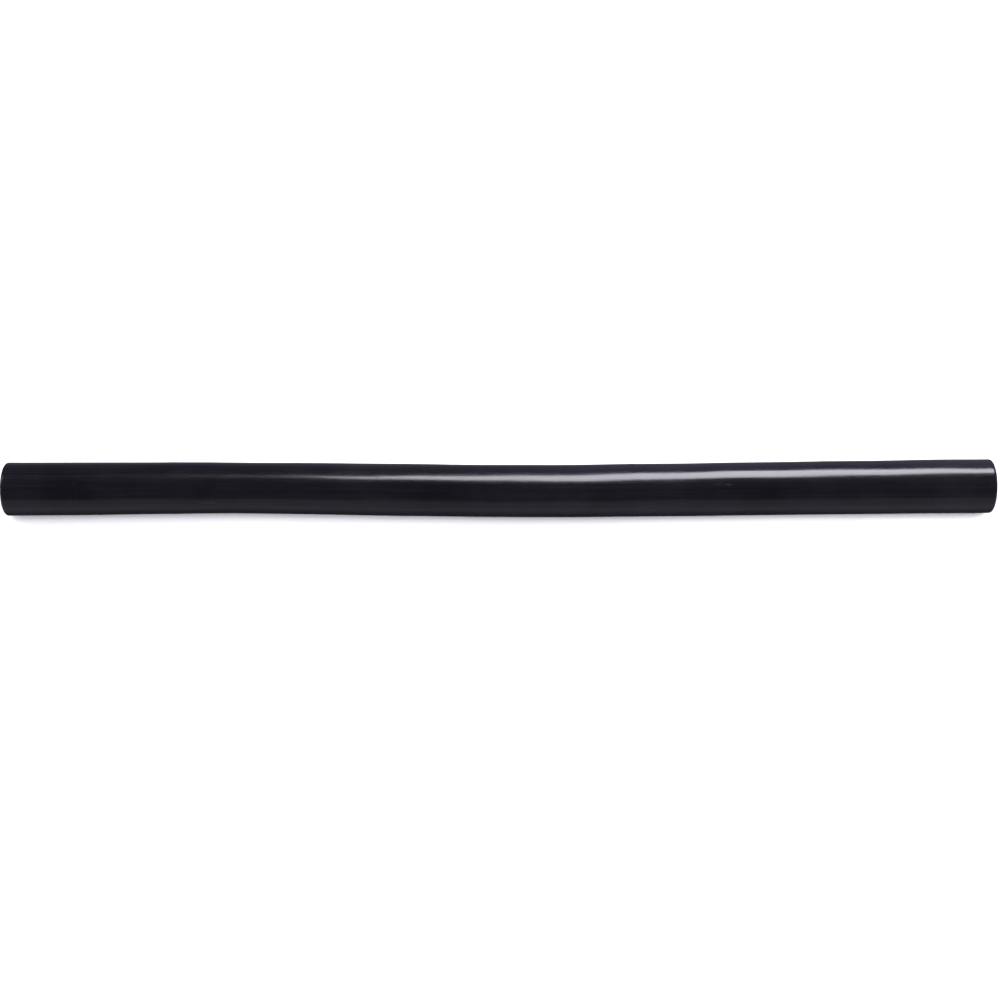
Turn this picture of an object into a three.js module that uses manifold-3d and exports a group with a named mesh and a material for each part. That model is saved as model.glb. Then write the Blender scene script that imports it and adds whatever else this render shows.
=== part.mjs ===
// Devil stick: a beech dowel in a foam tube, bound with tape, inside a black rubber sleeve whose ends
// are turned in over two rubber plugs. A screw and a washer hold each plug on the dowel's end.
//
// Millimetres, +Z up. The stick lies along X, midway between its end faces at the origin. Its bow turns
// to -Y, and its underside is straight, as it lies on a table. Neighbouring pieces keep FIT between them.

import * as THREE from 'three';
import { mergeVertices } from 'three/addons/utils/BufferGeometryUtils.js';
import Module from 'manifold-3d';

// ---- whole stick ----

const LENGTH = 620;
const HALF = LENGTH / 2;
const FIT = 0.3;

// The outline from the left end to the right: place along the length, bow towards -Y, diameter.
const STATIONS = [
  { share: 0.0, bow: 0.0, diameter: 33.6 },
  { share: 0.12, bow: -0.4, diameter: 33.0 },
  { share: 0.23, bow: -1.1, diameter: 32.2 },
  { share: 0.38, bow: 0.9, diameter: 32.8 },
  { share: 0.52, bow: 2.6, diameter: 33.0 },
  { share: 0.75, bow: 1.5, diameter: 33.4 },
  { share: 0.9, bow: 0.5, diameter: 33.9 },
  { share: 1.0, bow: 0.0, diameter: 34.0 },
];

// ---- rubber sleeve ----

const SLEEVE_WALL = 1.6;
const SLEEVE_CORNER = 2.0;
const LIP_RADIUS = 12.0;
const LIP_CHAMFER = 0.4;

// ---- end plugs ----

const PLUG_LENGTH = 40;
const PLUG_CHAMFER = 0.4;
const BOSS_RADIUS = LIP_RADIUS - FIT;
const RECESS_RADIUS = 6.5;
const RECESS_DEPTH = 5.4;
const SOCKET_DEPTH = 28.6;

// ---- screws and washers ----

const WASHER_RADIUS = 6.0;
const WASHER_THICKNESS = 1.2;
const SCREW_RADIUS = 2.1;
const SCREW_ROOT_RADIUS = 1.5;
const SCREW_LENGTH = 32;
const SCREW_POINT = 3;
const THREAD_PITCH = 2.2;
const THREAD_TURNS = 9;
const THREAD_FLANK = 0.3;
const HEAD_RADIUS = 4.3;
const HEAD_HEIGHT = 2.6;
const HEAD_DOME = 1.6;
const CROSS_DEPTH = 1.7;
const CROSS_WIDTH = 0.9;
const CROSS_LENGTH = 4.8;

// ---- dowel, foam and tape ----

const DOWEL_RADIUS = 8;
const DOWEL_CHAMFER = 0.8;
const PILOT_DEPTH = 26;
const PILOT_POINT = 1.3;
const FOAM_RADIUS = 14;
const TAPES = {
  left_tape_wrap: { from: -269, to: -205 },
  centre_tape_wrap: { from: -60, to: 84 },
  right_tape_wrap: { from: 205, to: 269 },
};

// ---- fineness ----

const STEP = 50;
const HALVINGS = 24;
const SIDES = 32;
const SMALL_SIDES = 16;
const CORNER_STEPS = 4;
const DOME_STEPS = 4;

// ---- places that follow from the sizes above ----

const CLEAR_HOLE_RADIUS = SCREW_RADIUS + FIT;
const SOCKET_RADIUS = DOWEL_RADIUS + FIT;
const SOCKET_FLOOR = PLUG_LENGTH - SOCKET_DEPTH;
const DOWEL_END = HALF - SOCKET_FLOOR - FIT;
const FOAM_END = HALF - PLUG_LENGTH - FIT;
const WASHER_TOP = RECESS_DEPTH - FIT - WASHER_THICKNESS;
const HEAD_UNDERSIDE = WASHER_TOP - FIT;
const HEAD_TOP = HEAD_UNDERSIDE - HEAD_HEIGHT;
const WIDEST_RADIUS = Math.max(...STATIONS.map((station) => station.diameter)) / 2;
const END_SIGNS = { left: -1, right: 1 };

const COLOURS = {
  rubber: { color: 0x1c1b21, roughness: 0.38, metalness: 0 },
  plug: { color: 0x17171a, roughness: 0.7, metalness: 0 },
  steel: { color: 0xb9bcc0, roughness: 0.35, metalness: 1 },
  beech: { color: 0xcfa672, roughness: 0.7, metalness: 0 },
  foam: { color: 0x3a3a3e, roughness: 0.95, metalness: 0 },
  tape: { color: 0x1f1f22, roughness: 0.5, metalness: 0 },
};

const wasm = await Module();
wasm.setup();

// ---- the line that every layer follows ----

const outline = new THREE.CatmullRomCurve3(
  STATIONS.map(({ share, bow, diameter }) => (
    new THREE.Vector3((share - 0.5) * LENGTH, -bow, diameter / 2)
  )),
);

// The stick's axis and outside radius at a place along X. The axis rises and falls with the radius,
// which keeps the underside straight.
function stickAt(x) {
  let low = 0;
  let high = 1;
  for (let round = 0; round < HALVINGS; round += 1) {
    const middle = (low + high) / 2;
    if (outline.getPoint(middle).x < x) {
      low = middle;
    } else {
      high = middle;
    }
  }
  const { y, z: radius } = outline.getPoint(low);
  return { y, z: radius - WIDEST_RADIUS, radius };
}

// Profile points [x, radius] at a set depth under the skin, in even steps from one place to another.
function underSkin(from, to, depth) {
  const steps = Math.max(1, Math.round(Math.abs(to - from) / STEP));
  const points = [];
  for (let step = 0; step <= steps; step += 1) {
    const x = from + ((to - from) * step) / steps;
    points.push([x, stickAt(x).radius - depth]);
  }
  return points;
}

// Profile points [x, radius] at a constant radius, in even steps from one place to another.
function straight(from, to, radius) {
  return underSkin(from, to, 0).map(([x]) => [x, radius]);
}

// ---- shaping ----

// Turns a profile of [x, radius] points about the X axis. It runs towards +X on its outer side.
function turn(profile, sides) {
  const points = profile.map(([x, radius]) => new THREE.Vector2(radius, x));
  const geometry = new THREE.LatheGeometry(points, sides, Math.PI / sides);
  geometry.rotateZ(-Math.PI / 2);
  return geometry;
}

// The same for a ring, whose profile closes on itself.
function turnRing(profile, sides) {
  return turn([...profile, profile[0]], sides);
}

// Lays a straight piece along the bowed stick.
function bend(geometry) {
  const place = geometry.attributes.position;
  for (let index = 0; index < place.count; index += 1) {
    const { y, z } = stickAt(place.getX(index));
    place.setY(index, place.getY(index) + y);
    place.setZ(index, place.getZ(index) + z);
  }
  geometry.computeVertexNormals();
  return geometry;
}

// A profile given as [depth from the end face, radius], set at the left end (-1) or the right (1).
function atEnd(sign, profile) {
  const points = profile.map(([depth, radius]) => [sign * (HALF - depth), radius]);
  return sign < 0 ? points : points.reverse();
}

function toSolid(geometry) {
  const bare = geometry.clone();
  bare.deleteAttribute('normal');
  bare.deleteAttribute('uv');
  const merged = mergeVertices(bare);
  return new wasm.Manifold(new wasm.Mesh({
    numProp: 3,
    vertProperties: merged.attributes.position.array,
    triVerts: new Uint32Array(merged.index.array),
  }));
}

function toGeometry(solid) {
  const { vertProperties, triVerts } = solid.getMesh();
  const geometry = new THREE.BufferGeometry();
  geometry.setAttribute('position', new THREE.BufferAttribute(vertProperties, 3));
  geometry.setIndex(new THREE.BufferAttribute(triVerts, 1));
  geometry.computeVertexNormals();
  return geometry;
}

function piece(name, geometry, look) {
  const mesh = new THREE.Mesh(geometry, new THREE.MeshStandardMaterial(COLOURS[look]));
  mesh.name = name;
  return mesh;
}

// ---- pieces ----

// A tube with rounded ends turned in over the plugs, as a shrunk rubber skin has.
function makeSleeve() {
  const end = (sign) => {
    const { radius } = stickAt(sign * HALF);
    const profile = [
      [SLEEVE_WALL, LIP_RADIUS],
      [LIP_CHAMFER, LIP_RADIUS],
      [0, LIP_RADIUS + LIP_CHAMFER],
    ];
    for (let step = 0; step <= CORNER_STEPS; step += 1) {
      const angle = (Math.PI / 2) * (1 - step / CORNER_STEPS);
      profile.push([
        SLEEVE_CORNER * (1 - Math.sin(angle)),
        radius - SLEEVE_CORNER * (1 - Math.cos(angle)),
      ]);
    }
    return atEnd(sign, profile);
  };
  const skinEnd = HALF - SLEEVE_CORNER;
  const wallEnd = HALF - SLEEVE_WALL;
  return bend(turnRing([
    ...end(-1),
    ...underSkin(-skinEnd, skinEnd, 0).slice(1, -1),
    ...end(1),
    ...underSkin(wallEnd, -wallEnd, SLEEVE_WALL),
  ], SIDES));
}

// A stopper with a boss in the sleeve's mouth, a recess for the screw and a socket for the dowel.
function makePlug(sign) {
  const inset = SLEEVE_WALL + FIT;
  const shoulder = stickAt(sign * (HALF - inset)).radius - inset;
  const innerEnd = stickAt(sign * (HALF - PLUG_LENGTH)).radius - inset;
  return bend(turnRing(atEnd(sign, [
    [PLUG_CHAMFER, RECESS_RADIUS],
    [0, RECESS_RADIUS + PLUG_CHAMFER],
    [0, BOSS_RADIUS - PLUG_CHAMFER],
    [PLUG_CHAMFER, BOSS_RADIUS],
    [inset, BOSS_RADIUS],
    [inset, shoulder - PLUG_CHAMFER],
    [inset + PLUG_CHAMFER, shoulder],
    [PLUG_LENGTH, innerEnd],
    [PLUG_LENGTH, SOCKET_RADIUS],
    [SOCKET_FLOOR, SOCKET_RADIUS],
    [SOCKET_FLOOR, CLEAR_HOLE_RADIUS],
    [RECESS_DEPTH, CLEAR_HOLE_RADIUS],
    [RECESS_DEPTH, RECESS_RADIUS],
  ]), SIDES));
}

function makeWasher(sign) {
  return bend(turnRing(atEnd(sign, [
    [WASHER_TOP, CLEAR_HOLE_RADIUS],
    [WASHER_TOP, WASHER_RADIUS],
    [WASHER_TOP + WASHER_THICKNESS, WASHER_RADIUS],
    [WASHER_TOP + WASHER_THICKNESS, CLEAR_HOLE_RADIUS],
  ]), SIDES));
}

// A wood screw with a domed head, a cross recess, a ridged thread and a point.
function makeScrew(sign) {
  const profile = [];
  for (let step = 0; step <= DOME_STEPS; step += 1) {
    const angle = (Math.PI / 2) * (step / DOME_STEPS);
    profile.push([HEAD_TOP + HEAD_DOME * (1 - Math.cos(angle)), HEAD_RADIUS * Math.sin(angle)]);
  }
  const tip = HEAD_UNDERSIDE + SCREW_LENGTH;
  const threadStart = tip - SCREW_POINT - THREAD_TURNS * THREAD_PITCH;
  profile.push(
    [HEAD_UNDERSIDE, HEAD_RADIUS],
    [HEAD_UNDERSIDE, SCREW_RADIUS],
    [threadStart, SCREW_RADIUS],
  );
  for (let thread = 0; thread < THREAD_TURNS; thread += 1) {
    const start = threadStart + thread * THREAD_PITCH;
    profile.push(
      [start + THREAD_FLANK * THREAD_PITCH, SCREW_ROOT_RADIUS],
      [start + THREAD_PITCH, SCREW_RADIUS],
    );
  }
  profile.push([tip, 0]);
  let screw = toSolid(turn(atEnd(sign, profile), SMALL_SIDES));
  for (const angle of [0, Math.PI / 2]) {
    const blade = new THREE.BoxGeometry(2 * CROSS_DEPTH, CROSS_LENGTH, CROSS_WIDTH);
    blade.rotateX(angle);
    blade.translate(sign * (HALF - HEAD_TOP), 0, 0);
    screw = screw.subtract(toSolid(blade));
  }
  return bend(toGeometry(screw));
}

// A round beech rod with softened ends and a drilled pilot hole in each.
function makeDowel() {
  const end = [
    [HALF - DOWEL_END + PILOT_DEPTH + PILOT_POINT, 0],
    [HALF - DOWEL_END + PILOT_DEPTH, CLEAR_HOLE_RADIUS],
    [HALF - DOWEL_END, CLEAR_HOLE_RADIUS],
    [HALF - DOWEL_END, DOWEL_RADIUS - DOWEL_CHAMFER],
  ];
  const roundEnd = DOWEL_END - DOWEL_CHAMFER;
  return bend(turn([
    ...atEnd(-1, end),
    ...straight(-roundEnd, roundEnd, DOWEL_RADIUS),
    ...atEnd(1, end),
  ], SIDES));
}

// A tube of foam round the dowel, from plug to plug.
function makeFoam() {
  return bend(turnRing([
    ...straight(-FOAM_END, FOAM_END, FOAM_RADIUS),
    ...straight(FOAM_END, -FOAM_END, SOCKET_RADIUS),
  ], SIDES));
}

// A binding that fills the room between the foam and the sleeve, thicker towards the stick's ends.
function makeTape({ from, to }) {
  return bend(turnRing([
    ...underSkin(from, to, SLEEVE_WALL + FIT),
    ...straight(to, from, FOAM_RADIUS + FIT),
  ], SIDES));
}

// ---- the stick ----

const stick = new THREE.Group();
stick.add(piece('rubber_sleeve', makeSleeve(), 'rubber'));
stick.add(piece('core_dowel', makeDowel(), 'beech'));
stick.add(piece('foam_body', makeFoam(), 'foam'));
for (const [name, span] of Object.entries(TAPES)) {
  stick.add(piece(name, makeTape(span), 'tape'));
}
for (const [side, sign] of Object.entries(END_SIGNS)) {
  stick.add(piece(`${side}_end_plug`, makePlug(sign), 'plug'));
  stick.add(piece(`${side}_plug_washer`, makeWasher(sign), 'steel'));
  stick.add(piece(`${side}_plug_screw`, makeScrew(sign), 'steel'));
}

export default stick;
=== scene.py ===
"""A devil stick's looks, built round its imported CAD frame: a satin black rubber sleeve whose
ends are turned in over two rubber plugs, and inside it the tape, foam, beech dowel, screws and
washers."""

import math

import bmesh
import bpy
import numpy as np
from mathutils import Matrix, Vector


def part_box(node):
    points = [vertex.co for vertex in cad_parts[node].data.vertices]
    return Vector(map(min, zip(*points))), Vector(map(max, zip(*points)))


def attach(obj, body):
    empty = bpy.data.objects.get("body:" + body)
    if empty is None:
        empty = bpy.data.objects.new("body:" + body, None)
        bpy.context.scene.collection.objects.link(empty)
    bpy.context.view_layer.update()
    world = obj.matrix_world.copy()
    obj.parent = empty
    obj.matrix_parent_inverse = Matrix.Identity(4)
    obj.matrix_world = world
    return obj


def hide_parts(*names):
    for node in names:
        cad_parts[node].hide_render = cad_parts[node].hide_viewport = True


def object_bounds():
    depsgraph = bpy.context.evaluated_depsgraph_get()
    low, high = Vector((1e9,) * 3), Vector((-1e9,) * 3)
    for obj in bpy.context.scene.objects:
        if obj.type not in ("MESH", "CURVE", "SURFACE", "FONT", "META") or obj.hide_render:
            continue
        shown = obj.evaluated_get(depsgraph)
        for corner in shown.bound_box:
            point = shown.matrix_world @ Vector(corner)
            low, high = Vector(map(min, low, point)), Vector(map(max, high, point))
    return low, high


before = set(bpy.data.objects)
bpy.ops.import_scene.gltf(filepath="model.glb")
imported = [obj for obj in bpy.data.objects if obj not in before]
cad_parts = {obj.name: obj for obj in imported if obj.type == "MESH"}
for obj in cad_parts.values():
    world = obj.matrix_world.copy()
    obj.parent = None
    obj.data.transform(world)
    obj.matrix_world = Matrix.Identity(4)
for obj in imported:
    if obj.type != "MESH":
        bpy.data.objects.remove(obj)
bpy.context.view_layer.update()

MM = 0.001
TURN = 2 * math.pi
SEED = 41

# ---- sizes that the CAD model was drawn to ----

SLEEVE_WALL = 1.6 * MM
SLEEVE_CORNER = 2.0 * MM
LIP_RADIUS = 12.0 * MM
FIT = 0.3 * MM
PLUG_LENGTH = 40 * MM
BOSS_RADIUS = LIP_RADIUS - FIT
RECESS_RADIUS = 6.5 * MM
RECESS_DEPTH = 5.4 * MM
SOCKET_DEPTH = 28.6 * MM
WASHER_THICKNESS = 1.2 * MM
HEAD_DOME = 1.6 * MM
HEAD_UNDERSIDE = 3.6 * MM
SCREW_RADIUS = 2.1 * MM
SCREW_ROOT_RADIUS = 1.5 * MM
SCREW_POINT = 3 * MM
THREAD_PITCH = 2.2 * MM
THREAD_TURNS = 9
CROSS_DEPTH = 1.7 * MM
CROSS_WIDTH = 0.9 * MM
CROSS_LENGTH = 4.8 * MM
DOWEL_RADIUS = 8 * MM
DOWEL_CHAMFER = 0.8 * MM
PILOT_DEPTH = 26 * MM
PILOT_POINT = 1.3 * MM
FOAM_RADIUS = 14 * MM

# ---- finer detail that only the looks have ----

LIP_ROUND = 0.45 * MM
SKIN_WAVES = 0.05 * MM
SKIN_STEP = 2 * MM
EDGE_SHOWS = 0.05 * MM
TAPE_EDGE_WIDTH = 2.5 * MM
PLUG_EDGE_WIDTH = 1.5 * MM
# From each end, how far the skin stays even, and where it is fully uneven.
CALM_END = 2 * MM
RIPPLED_FROM = 14 * MM
PLUG_ROUND = 0.5 * MM
# The groove in a plug's face: its middle's radius, then millimetres across it and into it.
GROOVE_RADIUS = 9.1 * MM
GROOVE = ((-0.45, 0), (-0.3, 0.2), (0, 0.3), (0.3, 0.2), (0.45, 0))
SOCKET_CHAMFER = 0.4 * MM
RECESS_ROUND = 0.5 * MM
WASHER_ROUND = 0.25 * MM
HEAD_ROUND = 0.2 * MM
NECK_ROUND = 0.25 * MM
SHANK_THINNING = 0.15 * MM
# The thread ridge's half width, as a share of the pitch.
THREAD_FLANK = 0.32
THREAD_RUN_IN = 2 * MM
PILOT_CHAMFER = 0.3 * MM
DOWEL_WAVES = 0.012 * MM
FOAM_ROUND = 1.0 * MM
FOAM_SWELL = 0.3 * MM
FOAM_WAVES = 0.03 * MM
TAPE_PITCH = 11 * MM
TAPE_LAYER = 0.13 * MM
TAPE_EDGE = 0.3 * MM
TAPE_WAVES = 0.02 * MM

# ---- tolerances ----

SKIN_MARGIN = 0.6 * MM
WELD = 0.004 * MM
ON_AXIS = 1e-7
SHARP_ANGLE = math.radians(38)

# ---- the line that every piece follows ----


def sleeve_rings():
    """Place along X, axis Y, axis Z and radius of each ring of the CAD sleeve's outer skin.
    The rings of its bore are thinner, and those of its ends lie further out along X."""
    points = np.array([v.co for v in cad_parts["rubber_sleeve"].data.vertices])
    places = np.round(points[:, 0] / MM, 2)
    low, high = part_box("rubber_sleeve")
    thinnest = (high.z - low.z) / 2 - SLEEVE_WALL + SKIN_MARGIN
    furthest = high.x - 0.9 * SLEEVE_CORNER
    rings = []
    for place in np.unique(places):
        ring = points[places == place]
        centre = (ring.min(axis=0) + ring.max(axis=0)) / 2
        radius = np.hypot(ring[:, 1] - centre[1], ring[:, 2] - centre[2]).max()
        if radius > thinnest and abs(place * MM) < furthest:
            rings.append((place * MM, centre[1], centre[2], radius))
    return np.array(rings)


RINGS = sleeve_rings()
RING_SLOPES = np.gradient(RINGS[:, 1:], RINGS[:, 0], axis=0)


def stick_at(x):
    """The stick's axis Y, axis Z and radius at places x, on a smooth curve through the rings."""
    x = np.clip(np.asarray(x, float), RINGS[0, 0], RINGS[-1, 0])
    i = np.clip(np.searchsorted(RINGS[:, 0], x) - 1, 0, len(RINGS) - 2)
    step = (RINGS[i + 1, 0] - RINGS[i, 0])[..., None]
    t = ((x - RINGS[i, 0]) / step[..., 0])[..., None]
    start, end = RINGS[i, 1:], RINGS[i + 1, 1:]
    return (
        (1 + 2 * t) * (1 - t) ** 2 * start
        + t * (1 - t) ** 2 * step * RING_SLOPES[i]
        + t * t * (3 - 2 * t) * end
        + t * t * (t - 1) * step * RING_SLOPES[i + 1]
    )


def radius_at(x):
    return float(stick_at([x])[0, 2])


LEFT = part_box("rubber_sleeve")[0].x
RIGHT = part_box("rubber_sleeve")[1].x
ENDS = {"left": LEFT, "right": RIGHT}


# ---- mesh tools ----


def run(start, end, step):
    """Even places from start to end, both included, about step apart."""
    return np.linspace(start, end, max(2, round(abs(end - start) / step) + 1))


def under_skin(start, end, depth, step):
    """Profile points (x, radius) at a depth under the skin."""
    x = run(start, end, step)
    return np.column_stack([x, stick_at(x)[:, 2] - depth])


def straight(start, end, radius, step):
    """Profile points (x, radius) at one radius."""
    x = run(start, end, step)
    return np.column_stack([x, np.full(len(x), radius)])


def corner(depth, radius, size, start, end, steps=5):
    """An arc of (depth, radius) points round a centre. 0 degrees points outwards, 90 to the end
    face."""
    angles = np.radians(np.linspace(start, end, steps + 1))
    return np.column_stack([depth - size * np.sin(angles), radius + size * np.cos(angles)])


def at_end(side, *parts):
    """Profile points (depth from the end face, radius) as (x, radius), in order towards +X."""
    points = np.vstack([np.atleast_2d(p) for p in parts])
    sign = math.copysign(1, ENDS[side])
    points = np.column_stack([sign * (abs(ENDS[side]) - points[:, 0]), points[:, 1]])
    return points if sign < 0 else points[::-1]


def turned(name, profile, sides, ripple=None):
    """A closed solid turned about the stick's bowed axis. The profile of (x, radius) points closes
    on itself, or starts and ends on the axis. ripple(x, angle, radius) is added to the radius."""
    profile = np.asarray(profile, float)
    capped = profile[0, 1] < ON_AXIS
    body = profile[1:-1] if capped else profile
    angle = np.linspace(0, TURN, sides, endpoint=False)
    x = np.repeat(body[:, :1], sides, axis=1)
    radius = np.repeat(body[:, 1:], sides, axis=1)
    angles = np.repeat(angle[None, :], len(body), axis=0)
    if ripple:
        radius = radius + ripple(x, angles, radius)
    axis = stick_at(body[:, 0])
    y = axis[:, :1] + radius * np.sin(angles)
    z = axis[:, 1:2] + radius * np.cos(angles)
    points = np.stack([x, y, z], axis=-1).reshape(-1, 3).tolist()
    faces = []
    rows = len(body)
    for row in range(rows if not capped else rows - 1):
        here, there = row * sides, (row + 1) % rows * sides
        for k in range(sides):
            n = (k + 1) % sides
            faces.append((here + k, there + k, there + n, here + n))
    if capped:
        for end, row in ((0, 0), (-1, rows - 1)):
            pole = len(points)
            axis_y, axis_z, _ = stick_at([profile[end, 0]])[0]
            points.append((profile[end, 0], axis_y, axis_z))
            for k in range(sides):
                faces.append((pole, row * sides + k, row * sides + (k + 1) % sides))
    mesh = bpy.data.meshes.new(name)
    mesh.from_pydata(points, [], faces)
    return finished(name, mesh)


def shade(mesh):
    """Smooth shading, except at sharp edges."""
    mesh.shade_smooth()
    mesh.set_sharp_from_angle(angle=SHARP_ANGLE)


def finished(name, mesh):
    """The mesh as a shaded object with its faces out."""
    shape = bmesh.new()
    shape.from_mesh(mesh)
    bmesh.ops.recalc_face_normals(shape, faces=shape.faces)
    shape.to_mesh(mesh)
    shape.free()
    shade(mesh)
    obj = bpy.data.objects.new(name, mesh)
    bpy.context.scene.collection.objects.link(obj)
    return obj


def place_piece(obj, node, material):
    """Sets a piece in place of its CAD node."""
    obj.data.materials.append(material)
    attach(obj, "root")
    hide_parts(node)


def smoothstep(low, high, value):
    """0 up to low, 1 from high on, and a smooth step between."""
    t = np.clip((value - low) / (high - low), 0, 1)
    return t * t * (3 - 2 * t)


# ---- materials ----


class Shader:
    """A new material, with short ways to add nodes and join them."""

    # A colour Mix node's sockets, which share their names with its other kinds'.
    MIX_A, MIX_B, MIX_RESULT = 6, 7, 2

    def __init__(self, name):
        self.material = bpy.data.materials.new(name)
        self.material.use_nodes = True
        self.tree = self.material.node_tree
        self.bsdf = self.tree.nodes["Principled BSDF"]
        self.place = self.add("TexCoord").outputs["Object"]

    def add(self, kind, **settings):
        node = self.tree.nodes.new("ShaderNode" + kind)
        for key, value in settings.items():
            setattr(node, key, value)
        return node

    def join(self, output, socket):
        self.tree.links.new(output, socket)

    def noise(self, scale, stretch=(1, 1, 1), detail=3.0, roughness=0.5, distortion=0.0):
        """Noise with features about 1 / scale metres across, divided by stretch along each axis."""
        mapping = self.add("Mapping")
        mapping.inputs["Scale"].default_value = stretch
        self.join(self.place, mapping.inputs["Vector"])
        node = self.add("TexNoise")
        node.inputs["Scale"].default_value = scale
        node.inputs["Detail"].default_value = detail
        node.inputs["Roughness"].default_value = roughness
        node.inputs["Distortion"].default_value = distortion
        self.join(mapping.outputs["Vector"], node.inputs["Vector"])
        return node.outputs["Fac"]

    def spread(self, value, low, high, out_low, out_high):
        """Maps low..high to out_low..out_high, held at both ends."""
        node = self.add("MapRange")
        self.join(value, node.inputs["Value"])
        node.inputs["From Min"].default_value = low
        node.inputs["From Max"].default_value = high
        node.inputs["To Min"].default_value = out_low
        node.inputs["To Max"].default_value = out_high
        return node.outputs["Result"]

    def math(self, operation, a, b):
        node = self.add("Math", operation=operation)
        for socket, value in zip(node.inputs, (a, b)):
            if isinstance(value, (int, float)):
                socket.default_value = value
            else:
                self.join(value, socket)
        return node.outputs["Value"]

    def blend(self, factor, a, b):
        """Colour a where factor is 0, colour b where it is 1."""
        node = self.add("Mix", data_type="RGBA")
        self.join(factor, node.inputs["Factor"])
        for number, value in ((self.MIX_A, a), (self.MIX_B, b)):
            if isinstance(value, tuple):
                node.inputs[number].default_value = (*value, 1)
            else:
                self.join(value, node.inputs[number])
        return node.outputs[self.MIX_RESULT]

    def patch(self, centre, size):
        """1 in the middle of a soft patch of that half size round a point, 0 outside it."""
        away = self.add("VectorMath", operation="SUBTRACT")
        self.join(self.place, away.inputs[0])
        away.inputs[1].default_value = centre
        share = self.add("VectorMath", operation="DIVIDE")
        self.join(away.outputs["Vector"], share.inputs[0])
        share.inputs[1].default_value = size
        length = self.add("VectorMath", operation="LENGTH")
        self.join(share.outputs["Vector"], length.inputs[0])
        return self.spread(length.outputs["Value"], 0.2, 1.0, 1.0, 0.0)

    def bump(self, height, distance, strength=1.0, under=None):
        node = self.add("Bump")
        node.inputs["Distance"].default_value = distance
        node.inputs["Strength"].default_value = strength
        self.join(height, node.inputs["Height"])
        if under is not None:
            self.join(under, node.inputs["Normal"])
        return node.outputs["Normal"]

    def finish(self, colour, roughness, normal=None, **constants):
        """Joins the main inputs; a constant goes on the shader's own socket."""
        self.join(colour, self.bsdf.inputs["Base Color"])
        self.join(roughness, self.bsdf.inputs["Roughness"])
        if normal is not None:
            self.join(normal, self.bsdf.inputs["Normal"])
        for key, value in constants.items():
            self.bsdf.inputs[key.replace("_", " ")].default_value = value
        return self.material


# Worn marks on the skin: place along X, degrees from the top towards -Y, half length and half
# width, in millimetres.
SCUFFS = [
    (-73, 11.5, 4.5, 2.4),
    (-266, 64, 1.8, 2.2),
    (50, 70, 11.0, 1.8),
    (140, 30, 9.0, 1.2),
    (-180, 74, 14.0, 1.4),
    (-30, 150, 12.0, 2.5),
    (170, -120, 14.0, 2.0),
    (-228, -80, 8.0, 2.5),
]


def skin_point(x, degrees):
    """A point on the skin at a place along X, that many degrees from the top towards -Y."""
    axis_y, axis_z, radius = stick_at([x])[0]
    angle = math.radians(degrees)
    return (x, axis_y - radius * math.sin(angle), axis_z + radius * math.cos(angle))


def sleeve_rubber():
    """Satin black rubber with drawing lines along the stick, faint blotches, scuffs, dust and
    grain."""
    s = Shader("sleeve_rubber")
    black, dark, dusty = (0.0027, 0.0025, 0.0039), (0.0045, 0.0042, 0.0063), (0.022, 0.021, 0.027)
    lines = s.noise(900, stretch=(0.006, 1, 1), detail=4, roughness=0.6)
    broad = s.noise(160, stretch=(0.03, 1, 1), detail=2)
    blotch = s.noise(30, detail=4, roughness=0.6)
    mottle = s.noise(420, stretch=(0.5, 1, 1), detail=3, roughness=0.6)
    grain = s.noise(3200, detail=3, roughness=0.6)
    specks = s.noise(1500, detail=1)
    marks = [
        s.patch(skin_point(x * MM, degrees), (long * MM, wide * MM, wide * MM))
        for x, degrees, long, wide in SCUFFS
    ]
    worn = marks[0]
    for mark in marks[1:]:
        worn = s.math("MAXIMUM", worn, mark)
    worn = s.math("MULTIPLY", worn, s.spread(mottle, 0.35, 0.6, 0.0, 1.0))
    tone = s.spread(s.math("MULTIPLY", lines, blotch), 0.15, 0.35, 0.0, 1.0)
    dust = s.spread(s.math("MULTIPLY", specks, blotch), 0.40, 0.48, 0.0, 0.2)
    dust = s.math("MAXIMUM", dust, s.math("MULTIPLY", worn, 0.12))
    colour = s.blend(dust, s.blend(tone, black, dark), dusty)
    satin = s.spread(lines, 0.3, 0.7, 0.165, 0.205)
    satin = s.math("ADD", satin, s.spread(blotch, 0.3, 0.7, -0.01, 0.02))
    satin = s.math("ADD", satin, s.spread(mottle, 0.35, 0.65, -0.01, 0.02))
    roughness = s.math("ADD", satin, s.math("MULTIPLY", worn, 0.16))
    normal = s.bump(grain, 0.012 * MM, 0.7)
    normal = s.bump(lines, 0.04 * MM, 0.7, under=normal)
    normal = s.bump(mottle, 0.03 * MM, 0.6, under=normal)
    normal = s.bump(broad, 0.12 * MM, 0.4, under=normal)
    return s.finish(colour, roughness, normal, IOR=1.2)


def plug_rubber():
    """Matt moulded rubber with a pebbled grain."""
    s = Shader("plug_rubber")
    black, dark = (0.0050, 0.0049, 0.0060), (0.0095, 0.0094, 0.0110)
    pebble = s.noise(1800, detail=3, roughness=0.6)
    blotch = s.noise(120, detail=3)
    colour = s.blend(s.spread(blotch, 0.35, 0.65, 0, 1), black, dark)
    roughness = s.spread(pebble, 0.3, 0.7, 0.46, 0.62)
    return s.finish(colour, roughness, s.bump(pebble, 0.05 * MM, 0.6), IOR=1.38)


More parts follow.
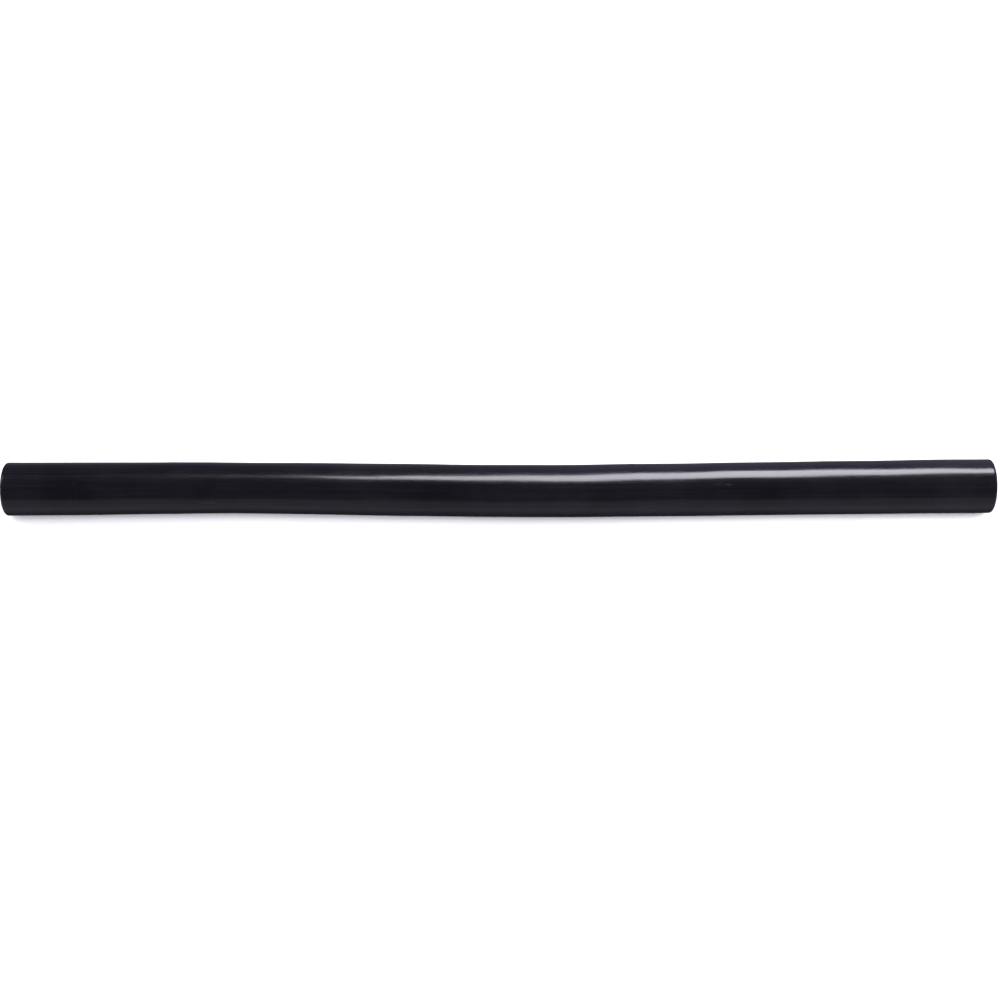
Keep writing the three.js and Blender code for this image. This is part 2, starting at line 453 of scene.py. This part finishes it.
def plated_steel():
    """Zinc-plated steel, turned rings and small scratches."""
    s = Shader("plated_steel")
    grey, bright = (0.50, 0.51, 0.52), (0.66, 0.66, 0.65)
    grain = s.noise(1400, stretch=(3, 1, 1), detail=4, roughness=0.65)
    stain = s.noise(380, detail=3)
    colour = s.blend(s.spread(stain, 0.35, 0.7, 0, 1), grey, bright)
    roughness = s.spread(grain, 0.3, 0.7, 0.22, 0.42)
    return s.finish(colour, roughness, s.bump(grain, 0.02 * MM, 0.4), Metallic=1.0)


def beech():
    """Beech with grain along the dowel and short dark flecks."""
    s = Shader("beech")
    late_wood, early_wood, flecked = (0.46, 0.26, 0.12), (0.70, 0.46, 0.25), (0.27, 0.13, 0.055)
    grain = s.noise(420, stretch=(0.03, 1, 1), detail=5, roughness=0.65, distortion=0.4)
    fleck = s.noise(900, stretch=(0.12, 1, 1), detail=2)
    colour = s.blend(s.spread(grain, 0.3, 0.7, 0, 1), late_wood, early_wood)
    colour = s.blend(s.spread(fleck, 0.62, 0.72, 0, 0.6), colour, flecked)
    roughness = s.spread(grain, 0.3, 0.7, 0.48, 0.66)
    return s.finish(colour, roughness, s.bump(grain, 0.06 * MM, 0.6), IOR=1.5)


def foam():
    """Charcoal closed-cell foam, with cells about a millimetre across and painted shade in their
    sunken hollows.
    """
    s = Shader("foam")
    # The cell floors are the hollows that the bump sinks; their darker colour is painted shade, not
    # a different foam colour.
    cell_wall, shaded_cell_floor, faded = (0.062, 0.062, 0.068), (0.03, 0.03, 0.034), (0.07, 0.07, 0.076)
    cells = s.add("TexVoronoi", feature="DISTANCE_TO_EDGE")
    cells.inputs["Scale"].default_value = 900
    s.join(s.place, cells.inputs["Vector"])
    inside = s.spread(cells.outputs["Distance"], 0.0, 0.25, 0, 1)
    blotch = s.noise(90, detail=3)
    colour = s.blend(inside, cell_wall, shaded_cell_floor)
    colour = s.blend(s.spread(blotch, 0.35, 0.65, 0, 0.35), colour, faded)
    roughness = s.spread(inside, 0, 1, 0.8, 0.95)
    return s.finish(colour, roughness, s.bump(inside, -0.15 * MM, 0.7), IOR=1.4)


def tape():
    """Black vinyl tape, softly wrinkled, with a fine embossed grain."""
    s = Shader("tape")
    black, dark = (0.010, 0.010, 0.011), (0.022, 0.022, 0.024)
    wrinkle = s.noise(240, stretch=(1, 0.4, 0.4), detail=4, roughness=0.6)
    grain = s.noise(3000, detail=2)
    colour = s.blend(s.spread(wrinkle, 0.3, 0.7, 0, 1), black, dark)
    roughness = s.spread(grain, 0.3, 0.7, 0.3, 0.45)
    normal = s.bump(wrinkle, 0.08 * MM, 0.5, under=s.bump(grain, 0.015 * MM, 0.5))
    return s.finish(colour, roughness, normal, IOR=1.5)


# ---- pieces ----

TAPE_NAMES = ("left_tape_wrap", "centre_tape_wrap", "right_tape_wrap")
TAPES = {name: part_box(name) for name in TAPE_NAMES}
PLUG_EDGES = [LEFT + PLUG_LENGTH, RIGHT - PLUG_LENGTH]


def soft_waves(seed, count, size, shortest, longest, lobes):
    """A height over (x, angle) that sums a few long random waves, for hand-made unevenness."""
    chance = np.random.default_rng(seed)
    waves = [(
        chance.integers(0, lobes),
        chance.uniform(0, TURN),
        TURN / chance.uniform(shortest, longest),
        chance.uniform(0, TURN),
        chance.uniform(0.3, 1.0) * size,
    ) for _ in range(count)]

    def height(x, angle):
        total = np.zeros_like(x)
        for around, around_start, along, along_start, high in waves:
            total += high * np.cos(around * angle + around_start) * np.cos(along * x + along_start)
        return total

    return height


CREASE_PLACE = LEFT + 47.0 * MM
CREASE_FROM = TURN - math.radians(80)
CREASE_TO = TURN - math.radians(32)
CREASE_FADE = 0.12
CREASE_DENT = 0.22 * MM
CREASE_LIP = 0.1 * MM


def crease(x, angle):
    """A short dent across the skin just past the left plug's inner edge, with a raised lip beside
    it."""
    across = smoothstep(CREASE_FROM, CREASE_FROM + CREASE_FADE, angle) * (
        1 - smoothstep(CREASE_TO - CREASE_FADE, CREASE_TO, angle))
    away = (x - CREASE_PLACE) / MM
    lip = CREASE_LIP * np.exp(-((away + 2.6) / 1.5) ** 2)
    dent = CREASE_DENT * np.exp(-(away / 0.9) ** 2)
    return across * (lip - dent)


def skin_ripple():
    """The sleeve's skin: long soft waves, the edges of the tape and plugs under it, and a crease.
    It leaves the ends and the bore alone."""
    waves = soft_waves(
        SEED, count=14, size=SKIN_WAVES, shortest=45 * MM, longest=220 * MM, lobes=5)
    tape_edges = [point.x for box in TAPES.values() for point in box]

    def ripple(x, angle, radius):
        height = waves(x, angle) + crease(x, angle)
        for edge in tape_edges:
            height += EDGE_SHOWS * np.exp(-((x - edge) / TAPE_EDGE_WIDTH) ** 2)
        for edge in PLUG_EDGES:
            height -= EDGE_SHOWS * np.exp(-((x - edge) / PLUG_EDGE_WIDTH) ** 2)
        skin = stick_at(x.ravel())[:, 2].reshape(x.shape)
        outside = radius > skin - 0.1 * MM
        inwards = np.minimum(x - LEFT, RIGHT - x)
        return np.where(outside, height * smoothstep(CALM_END, RIPPLED_FROM, inwards), 0)

    return ripple


def make_sleeve():
    """The skin, with rounded ends turned in over the plugs, and finer rings at the crease."""
    def end(side):
        radius = radius_at(ENDS[side])
        return at_end(
            side,
            (SLEEVE_WALL, LIP_RADIUS),
            corner(LIP_ROUND, LIP_RADIUS + LIP_ROUND, LIP_ROUND, 180, 90),
            corner(SLEEVE_CORNER, radius - SLEEVE_CORNER, SLEEVE_CORNER, 90, 0, steps=12),
        )

    close_up = CREASE_PLACE + run(-6 * MM, 4 * MM, 0.25 * MM)
    places = run(LEFT + SLEEVE_CORNER, RIGHT - SLEEVE_CORNER, SKIN_STEP)[1:-1]
    places = places[(places < close_up[0] - 0.5 * MM) | (places > close_up[-1] + 0.5 * MM)]
    places = np.sort(np.concatenate([places, close_up]))
    skin = np.column_stack([places, stick_at(places)[:, 2]])
    inside = under_skin(RIGHT - SLEEVE_WALL, LEFT + SLEEVE_WALL, SLEEVE_WALL, 15 * MM)
    profile = np.vstack([end("left"), skin, end("right"), inside])
    sleeve = turned("sleeve_skin", profile, sides=128, ripple=skin_ripple())
    place_piece(sleeve, "rubber_sleeve", LOOKS["sleeve_rubber"])


def make_plug(side):
    """A moulded stopper with a groove round its face, a recess for the screw and a dowel socket."""
    inset = SLEEVE_WALL + FIT
    shoulder = radius_at(ENDS[side]) - inset
    inner = abs(ENDS[side]) - PLUG_LENGTH
    sign = math.copysign(1, ENDS[side])
    depths = run(inset + PLUG_ROUND, PLUG_LENGTH, 4 * MM)[1:]
    wall = [(depth, radius_at(sign * (abs(ENDS[side]) - depth)) - inset) for depth in depths]
    bore = SCREW_RADIUS + FIT
    socket = DOWEL_RADIUS + FIT
    socket_floor = PLUG_LENGTH - SOCKET_DEPTH
    profile = at_end(
        side,
        corner(PLUG_ROUND, RECESS_RADIUS + PLUG_ROUND, PLUG_ROUND, 180, 90),
        [(into * MM, GROOVE_RADIUS + across * MM) for across, into in GROOVE],
        corner(PLUG_ROUND, BOSS_RADIUS - PLUG_ROUND, PLUG_ROUND, 90, 0),
        (inset, BOSS_RADIUS),
        (inset, shoulder - PLUG_ROUND),
        corner(inset + PLUG_ROUND, shoulder - PLUG_ROUND, PLUG_ROUND, 90, 0)[1:],
        wall,
        (PLUG_LENGTH, socket + SOCKET_CHAMFER),
        (PLUG_LENGTH - SOCKET_CHAMFER, socket),
        (socket_floor, socket),
        (socket_floor, bore),
        (RECESS_DEPTH, bore),
        (RECESS_DEPTH, RECESS_RADIUS - RECESS_ROUND),
        (RECESS_DEPTH - 0.3 * RECESS_ROUND, RECESS_RADIUS - 0.3 * RECESS_ROUND),
        (RECESS_DEPTH - RECESS_ROUND, RECESS_RADIUS),
    )
    plug = turned(f"{side}_plug_moulding", profile, sides=96)
    place_piece(plug, f"{side}_end_plug", LOOKS["plug_rubber"])


def make_washer(side):
    """A stamped washer with rolled edges."""
    low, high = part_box(f"{side}_plug_washer")
    near = abs(ENDS[side]) - max(abs(low.x), abs(high.x))
    far = near + WASHER_THICKNESS
    outer = (high.y - low.y) / 2
    bore = SCREW_RADIUS + FIT
    edge = WASHER_ROUND
    profile = at_end(
        side,
        corner(near + edge, bore + edge, edge, 180, 90, steps=3),
        corner(near + edge, outer - edge, edge, 90, 0, steps=3),
        corner(far - edge, outer - edge, edge, 0, -90, steps=3),
        corner(far - edge, bore + edge, edge, 270, 180, steps=3),
    )
    washer = turned(f"{side}_washer_stamping", profile, sides=64)
    place_piece(washer, f"{side}_plug_washer", LOOKS["plated_steel"])


# Depth below the screw head's top, and the blades' size there as a share of the cross's.
CROSS_TAPER = ((-0.8 * MM, 1.25), (CROSS_DEPTH, 0.55))


def cross_cutter(top, side):
    """Two tapered blades crossing on the stick's axis, which start a little proud of the screw's
    head at top and narrow downwards."""
    sign = math.copysign(1, ENDS[side])
    mesh = bpy.data.meshes.new("cross_cutter")
    shape = bmesh.new()
    axis_y, axis_z, _ = stick_at([top])[0]
    for swap in (False, True):
        rows = []
        for depth, grow in CROSS_TAPER:
            long, wide = grow * CROSS_LENGTH / 2, (0.6 + 0.4 * grow) * CROSS_WIDTH / 2
            for a, b in ((-long, -wide), (long, -wide), (long, wide), (-long, wide)):
                y, z = (b, a) if swap else (a, b)
                rows.append(shape.verts.new((top - sign * depth, axis_y + y, axis_z + z)))
        around = [(i, (i + 1) % 4, (i + 1) % 4 + 4, i + 4) for i in range(4)]
        for face in [(0, 1, 2, 3), (4, 5, 6, 7), *around]:
            shape.faces.new([rows[i] for i in face])
    bmesh.ops.recalc_face_normals(shape, faces=shape.faces)
    shape.to_mesh(mesh)
    shape.free()
    return bpy.data.objects.new("cross_cutter", mesh)


def cut(obj, cutter):
    """Takes the cutter's shape out of the object's mesh."""
    bpy.context.scene.collection.objects.link(cutter)
    modifier = obj.modifiers.new("cut", "BOOLEAN")
    modifier.object = cutter
    modifier.solver = "EXACT"
    modifier.use_self = True
    evaluated = obj.evaluated_get(bpy.context.evaluated_depsgraph_get())
    mesh = bpy.data.meshes.new_from_object(evaluated)
    bpy.data.objects.remove(cutter)
    obj.modifiers.remove(modifier)
    shape = bmesh.new()
    shape.from_mesh(mesh)
    bmesh.ops.remove_doubles(shape, verts=shape.verts, dist=WELD)
    bmesh.ops.dissolve_degenerate(shape, edges=shape.edges, dist=WELD)
    shape.to_mesh(mesh)
    shape.free()
    shade(mesh)
    obj.data = mesh


def make_screw(side):
    """A wood screw with a domed cross-head, a plain shank and a helical thread."""
    sign = math.copysign(1, ENDS[side])
    low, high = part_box(f"{side}_plug_screw")
    top = abs(ENDS[side]) - max(abs(low.x), abs(high.x))
    tip = abs(ENDS[side]) - min(abs(low.x), abs(high.x))
    head = (high.y - low.y) / 2
    shank = SCREW_RADIUS - SHANK_THINNING
    thread_from = tip - SCREW_POINT - THREAD_TURNS * THREAD_PITCH
    dome = [
        (top + HEAD_DOME * (1 - math.cos(a)), head * math.sin(a))
        for a in np.linspace(0, TURN / 4, 9)
    ]
    cone = run(tip - SCREW_POINT, tip, 0.2 * MM)[1:-1]
    profile = at_end(
        side,
        dome,
        (HEAD_UNDERSIDE - HEAD_ROUND, head),
        (HEAD_UNDERSIDE, head - HEAD_ROUND),
        (HEAD_UNDERSIDE, SCREW_RADIUS + NECK_ROUND),
        (HEAD_UNDERSIDE + NECK_ROUND, shank),
        (thread_from - 1.2 * MM, shank),
        straight(thread_from, tip - SCREW_POINT, SCREW_ROOT_RADIUS, 0.15 * MM),
        np.column_stack([cone, SCREW_ROOT_RADIUS * (tip - cone) / SCREW_POINT]),
        (tip, 0),
    )

    def thread(x, angle, radius):
        depth = abs(ENDS[side]) - sign * x
        phase = np.mod(depth / THREAD_PITCH - sign * angle / TURN, 1)
        ridge = np.clip(1 - abs(phase - 0.5) / THREAD_FLANK, 0, 1)
        run_in = smoothstep(thread_from, thread_from + THREAD_RUN_IN, depth)
        run_out = np.clip((tip - depth) / SCREW_POINT, 0, 1)
        return (SCREW_RADIUS - SCREW_ROOT_RADIUS) * ridge * run_in * run_out

    screw = turned(f"{side}_screw_thread", profile, sides=40, ripple=thread)
    cut(screw, cross_cutter(sign * (abs(ENDS[side]) - top), side))
    place_piece(screw, f"{side}_plug_screw", LOOKS["plated_steel"])


def make_dowel():
    """A beech rod, turned a little unevenly, with softened ends and a pilot hole in each."""
    low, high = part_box("core_dowel")
    bore = SCREW_RADIUS + FIT
    shoulder = DOWEL_RADIUS - DOWEL_CHAMFER

    def end(side):
        start = abs(ENDS[side]) - max(abs(low.x), abs(high.x))
        return at_end(
            side,
            (start + PILOT_DEPTH + PILOT_POINT, 0),
            (start + PILOT_DEPTH, bore),
            (start + PILOT_CHAMFER, bore),
            (start, bore + PILOT_CHAMFER),
            (start, shoulder - 0.2 * MM),
            corner(start + DOWEL_CHAMFER, shoulder, DOWEL_CHAMFER, 80, 0, steps=4),
        )

    def unevenness(x, angle, radius):
        return np.where(radius > 0.97 * DOWEL_RADIUS, waves(x, angle), 0)

    waves = soft_waves(
        SEED + 1, count=8, size=DOWEL_WAVES, shortest=12 * MM, longest=90 * MM, lobes=6)
    profile = np.vstack([
        end("left"),
        straight(low.x + DOWEL_CHAMFER, high.x - DOWEL_CHAMFER, DOWEL_RADIUS, 6 * MM)[1:-1],
        end("right"),
    ])
    dowel = turned("dowel_rod", profile, sides=64, ripple=unevenness)
    place_piece(dowel, "core_dowel", LOOKS["beech"])


def make_foam():
    """A foam tube, pressed in under the tape and a little full between."""
    low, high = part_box("foam_body")
    waves = soft_waves(
        SEED + 2, count=10, size=FOAM_WAVES, shortest=15 * MM, longest=60 * MM, lobes=6)

    def give(x, angle, radius):
        taped = np.zeros_like(x)
        for box in TAPES.values():
            inwards = np.minimum(x - box[0].x, box[1].x - x)
            taped = np.maximum(taped, smoothstep(-4 * MM, 4 * MM, inwards))
        height = waves(x, angle) + FOAM_SWELL * (1 - taped)
        return np.where(radius > FOAM_RADIUS - 1.1 * MM, height, 0)

    bore = DOWEL_RADIUS + FIT
    edge = FOAM_ROUND
    turn_in = [
        (edge * (1 - math.sin(a)), edge * (1 - math.cos(a)))
        for a in np.linspace(0, TURN / 4, 5)
    ]
    near = [(low.x + along, FOAM_RADIUS - inward) for along, inward in turn_in[::-1]]
    far = [(high.x - along, FOAM_RADIUS - inward) for along, inward in turn_in]
    profile = np.vstack([
        near,
        straight(low.x + edge, high.x - edge, FOAM_RADIUS, 3 * MM)[1:-1],
        far,
        straight(high.x, low.x, bore, 12 * MM),
    ])
    foam_tube = turned("foam_tube", profile, sides=72, ripple=give)
    place_piece(foam_tube, "foam_body", LOOKS["foam"])


def make_tape(name):
    """Turns of tape wound on a slant, each lapped over the last."""
    low, high = TAPES[name]
    waves = soft_waves(
        SEED + 3, count=8, size=TAPE_WAVES, shortest=8 * MM, longest=40 * MM, lobes=7)

    def laps(x, angle, radius):
        phase = np.mod((x - low.x) / TAPE_PITCH - angle / TURN, 1)
        lap = phase * smoothstep(0, 0.06, 1 - phase)
        return np.where(radius > FOAM_RADIUS + 0.8 * MM, TAPE_LAYER * lap + waves(x, angle), 0)

    inset = SLEEVE_WALL + FIT
    profile = np.vstack([
        [(low.x, radius_at(low.x) - inset - TAPE_EDGE)],
        under_skin(low.x + TAPE_EDGE, high.x - TAPE_EDGE, inset, 0.5 * MM),
        [(high.x, radius_at(high.x) - inset - TAPE_EDGE)],
        straight(high.x, low.x, FOAM_RADIUS + FIT, 12 * MM),
    ])
    wrap = turned(name.replace("wrap", "winding"), profile, sides=72, ripple=laps)
    place_piece(wrap, name, LOOKS["tape"])


MATERIALS = (sleeve_rubber, plug_rubber, plated_steel, beech, foam, tape)
LOOKS = {material.__name__: material() for material in MATERIALS}

make_sleeve()
make_dowel()
make_foam()
for tape_name in TAPES:
    make_tape(tape_name)
for end_side in ENDS:
    make_plug(end_side)
    make_washer(end_side)
    make_screw(end_side)

# ---- camera, floor and light ----

CAMERA_ELEVATION = math.radians(50)
CAMERA_DISTANCE = 1.15
CAMERA_ROLL = math.radians(0.165)
CAMERA_TARGET_RIGHT = 0.85 * MM
CAMERA_TARGET_UP = -7.9 * MM
FIELD_WIDTH = 629.5 * MM
SENSOR_WIDTH = 36
FLOOR_REACH = 30.0
ROOM_LIGHT = 2.2
PALE = (0.9, 0.89, 1.0, 1)
COOL = (0.64, 0.58, 1.03, 1)
KEY_POWER = 10
KEY_SIZE = 0.7
KEY_PLACE = (0.9, -0.55, 0.9)
KEY_AIM = (0.2, -0.1, 0)

# The soft box's outline: place along X, and the zenith angles of its near and far edges as seen
# from the stick.
BOX_HEIGHT = 0.8
BOX_EDGES = [
    (-0.50, 9, 16), (-0.24, 9, 17), (-0.17, 9, 18), (-0.10, 6, 20), (0.0, 6, 27), (0.11, 4, 34),
    (0.23, 8, 40), (0.35, 13, 43), (0.47, 16, 40), (0.53, 17, 38), (0.70, 22, 36),
]

# Place along X and the share of the full glow there. The soft box fades out to the left.
BOX_GLOW = 60
BOX_COLOUR = (0.95, 0.92, 1.0, 1)
BOX_FADE = [
    (-0.5, 0.01), (-0.24, 0.015), (-0.2, 0.02), (-0.185, 1.0), (0.0, 0.9), (0.12, 1.0),
    (0.7, 0.95),
]

# The side box's left and right edges, near and far edges, height, and glow.
SIDE_BOX_X = (-1.9, -0.75)
SIDE_BOX_Y = (0.1, 0.4)
SIDE_BOX_HEIGHT = 0.9
SIDE_BOX_FADE = [(-1.9, 0.45), (-0.75, 0.25)]


def make_camera():
    camera = bpy.data.cameras.new("camera")
    camera.sensor_width = SENSOR_WIDTH
    camera.lens = SENSOR_WIDTH * CAMERA_DISTANCE / FIELD_WIDTH
    camera.clip_start, camera.clip_end = 0.01, 50
    obj = bpy.data.objects.new("camera", camera)
    bpy.context.scene.collection.objects.link(obj)
    back = Vector((0, -math.cos(CAMERA_ELEVATION), math.sin(CAMERA_ELEVATION)))
    right = Vector((1, 0, 0))
    up = back.cross(right)
    target = CAMERA_TARGET_RIGHT * right + CAMERA_TARGET_UP * up
    turn = Matrix((right, up, back)).transposed() @ Matrix.Rotation(-CAMERA_ROLL, 3, "Z")
    obj.matrix_world = Matrix.Translation(target + CAMERA_DISTANCE * back) @ turn.to_4x4()
    bpy.context.scene.camera = obj


def make_floor():
    """A wide pale floor under the stick's lowest point. The skin mirrors the world's lower half
    instead, which stands for this floor with the stick's own shadow on it."""
    edge = FLOOR_REACH
    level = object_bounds()[0].z
    mesh = bpy.data.meshes.new("floor")
    corners = [(-edge, -edge), (edge, -edge), (edge, edge), (-edge, edge)]
    mesh.from_pydata([(x, y, level) for x, y in corners], [], [(0, 1, 2, 3)])
    floor = bpy.data.objects.new("floor", mesh)
    bpy.context.scene.collection.objects.link(floor)
    s = Shader("pale_floor")
    paper = s.noise(600, detail=2)
    colour = s.blend(paper, (0.78, 0.77, 0.82), (0.82, 0.81, 0.86))
    mesh.materials.append(s.finish(colour, s.spread(paper, 0, 1, 0.85, 0.95), IOR=1.2))
    floor.visible_glossy = False


def make_world():
    """Even pale light for the camera and for soft shading. What the stick mirrors is a dim room
    over the floor, with a cool glow low on the far side, stronger to the right, a faint one high
    up and a pale one at each end."""
    world = bpy.data.worlds.new("studio")
    bpy.context.scene.world = world
    world.use_nodes = True
    tree = world.node_tree
    tree.nodes.clear()

    def add(kind, **settings):
        node = tree.nodes.new("ShaderNode" + kind)
        for key, value in settings.items():
            setattr(node, key, value)
        return node

    def ramp(value, low, high, out_low, out_high):
        node = add("MapRange", interpolation_type="SMOOTHSTEP")
        tree.links.new(value, node.inputs["Value"])
        node.inputs["From Min"].default_value = low
        node.inputs["From Max"].default_value = high
        node.inputs["To Min"].default_value = out_low
        node.inputs["To Max"].default_value = out_high
        return node.outputs["Result"]

    def combine(operation, a, b):
        node = add("Math", operation=operation)
        for socket, value in zip(node.inputs, (a, b)):
            if isinstance(value, (int, float)):
                socket.default_value = value
            else:
                tree.links.new(value, socket)
        return node.outputs["Value"]

    def background(colour, strength):
        node = add("Background")
        node.inputs["Color"].default_value = colour
        if isinstance(strength, float):
            node.inputs["Strength"].default_value = strength
        else:
            tree.links.new(strength, node.inputs["Strength"])
        return node.outputs["Background"]

    def stack(kind, first, second):
        """An Add or Mix node over two shaders, which are its last two sockets."""
        node = add(kind)
        tree.links.new(first, node.inputs[-2])
        tree.links.new(second, node.inputs[-1])
        return node

    split = add("SeparateXYZ")
    tree.links.new(add("TexCoord").outputs["Generated"], split.inputs["Vector"])
    x, y, z = (split.outputs[axis] for axis in "XYZ")
    above = ramp(z, -0.02, 0.02, 0, 1)
    below = ramp(z, -0.02, 0.02, 1, 0)

    far_side = ramp(y, -0.1, 0.15, 0, 1)
    low_down = ramp(z, 0.55, 0.8, 1, 0)
    rightwards = ramp(x, -0.25, 0.2, 0.12, 1.0)
    near_horizon = ramp(z, 0.0, 0.35, 0.3, 0.06)
    glow = combine("MULTIPLY", combine("MULTIPLY", far_side, low_down), rightwards)
    glow = combine("ADD", glow, combine("MULTIPLY", far_side, 0.2))
    glow = combine("MULTIPLY", combine("MAXIMUM", glow, near_horizon), above)

    sideways = ramp(combine("ABSOLUTE", x, 0.0), 0.4, 0.65, 0, 0.5)
    own_shadow = ramp(z, -1.0, -0.7, 0.15, 1.4)
    near_floor = ramp(y, -0.3, 0.2, 1.0, 0.3)
    floor_glow = combine("MULTIPLY", combine("MULTIPLY", below, own_shadow), near_floor)
    pale = combine("ADD", combine("MULTIPLY", sideways, above), floor_glow)

    room = background((1, 1, 1, 1), ROOM_LIGHT)
    mirrored = stack("AddShader", background(COOL, glow), background(PALE, pale))
    mix = stack("MixShader", room, mirrored.outputs["Shader"])
    tree.links.new(add("LightPath").outputs["Is Glossy Ray"], mix.inputs["Fac"])
    tree.links.new(mix.outputs["Shader"], add("OutputWorld").inputs["Surface"])


def glowing_panel(name, points, faces, stops):
    """A stage panel that only shows in reflections. stops are (place along X, share of the full
    glow)."""
    mesh = bpy.data.meshes.new(name)
    mesh.from_pydata(points, [], faces)
    panel = bpy.data.objects.new(name, mesh)
    bpy.context.scene.collection.objects.link(panel)
    material = bpy.data.materials.new(name)
    material.use_nodes = True
    tree = material.node_tree
    tree.nodes.clear()
    place = tree.nodes.new("ShaderNodeTexCoord")
    split = tree.nodes.new("ShaderNodeSeparateXYZ")
    spread = tree.nodes.new("ShaderNodeMapRange")
    fade = tree.nodes.new("ShaderNodeValToRGB")
    strength = tree.nodes.new("ShaderNodeMath")
    glow = tree.nodes.new("ShaderNodeEmission")
    out = tree.nodes.new("ShaderNodeOutputMaterial")
    start, end = stops[0][0], stops[-1][0]
    spread.inputs["From Min"].default_value = start
    spread.inputs["From Max"].default_value = end
    elements = fade.color_ramp.elements
    for number, (x, level) in enumerate(stops):
        stop = elements[number] if number < 2 else elements.new(1)
        stop.position = (x - start) / (end - start)
        stop.color = (level, level, level, 1)
    strength.operation = "MULTIPLY"
    strength.inputs[1].default_value = BOX_GLOW
    glow.inputs["Color"].default_value = BOX_COLOUR
    tree.links.new(place.outputs["Object"], split.inputs["Vector"])
    tree.links.new(split.outputs["X"], spread.inputs["Value"])
    tree.links.new(spread.outputs["Result"], fade.inputs["Fac"])
    tree.links.new(fade.outputs["Color"], strength.inputs[0])
    tree.links.new(strength.outputs["Value"], glow.inputs["Strength"])
    tree.links.new(glow.outputs["Emission"], out.inputs["Surface"])
    mesh.materials.append(material)
    panel.visible_camera = False
    panel.visible_diffuse = False
    panel.visible_shadow = False


def make_soft_boxes():
    """The panel above and behind the stick that draws the long highlight, and one far to the left
    that only views from other sides see in the skin."""
    near = [(x, BOX_HEIGHT * math.tan(math.radians(a)), BOX_HEIGHT) for x, a, _ in BOX_EDGES]
    far = [(x, BOX_HEIGHT * math.tan(math.radians(a)), BOX_HEIGHT) for x, _, a in BOX_EDGES]
    count = len(BOX_EDGES)
    faces = [(i, i + 1, count + i + 1, count + i) for i in range(count - 1)]
    glowing_panel("soft_box", near + far, faces, BOX_FADE)
    (left, right), (front, back) = SIDE_BOX_X, SIDE_BOX_Y
    outline = [(left, front), (right, front), (right, back), (left, back)]
    side = [(x, y, SIDE_BOX_HEIGHT) for x, y in outline]
    glowing_panel("side_box", side, [(0, 1, 2, 3)], SIDE_BOX_FADE)


def make_key_light():
    """A soft light from the front right, which evens out the floor and the stick's near side."""
    light = bpy.data.lights.new("key", "AREA")
    light.shape = "DISK"
    light.size = KEY_SIZE
    light.energy = KEY_POWER
    obj = bpy.data.objects.new("key", light)
    bpy.context.scene.collection.objects.link(obj)
    obj.location = KEY_PLACE
    aim = Vector(KEY_AIM) - obj.location
    obj.rotation_euler = aim.to_track_quat("-Z", "Y").to_euler()
    obj.visible_glossy = False


make_camera()
make_key_light()
make_floor()
make_world()
make_soft_boxes()
bpy.context.scene.view_settings.view_transform = "Standard"
